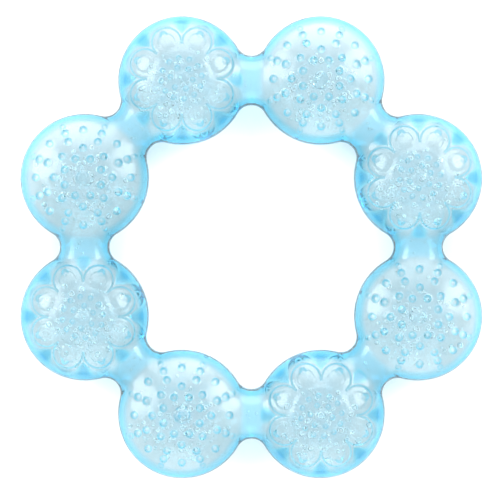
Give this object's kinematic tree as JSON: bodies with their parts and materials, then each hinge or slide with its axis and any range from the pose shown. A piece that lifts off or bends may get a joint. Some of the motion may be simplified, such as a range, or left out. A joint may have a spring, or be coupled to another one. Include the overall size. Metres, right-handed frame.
{
  "type": "teething ring",
  "caption": "Water-filled teething ring of round beads joined by necks, with raised flowers and rings of nubs on its clear blue shells.",
  "frame": {"origin": "centre of the ring, on the plane that its back bosses rest on", "axes": "+Z out of the ring's front face, along the axis of its centre opening; +X and +Y each pass through the middle of a neck; the bead next to +X towards +Y is a flower"},
  "size_m": [0.096, 0.096, 0.0152],
  "materials": {
    "shell": "smooth, wet-looking, see-through light blue soft EVA",
    "water": "clear purified water with small air bubbles",
    "plug": "smooth, see-through light blue EVA"
  },
  "bodies": {
    "root": {"front_shell": "shell", "back_shell": "shell", "water_fill": "water", "fill_plug": "plug"}
  },
  "joints": []
}
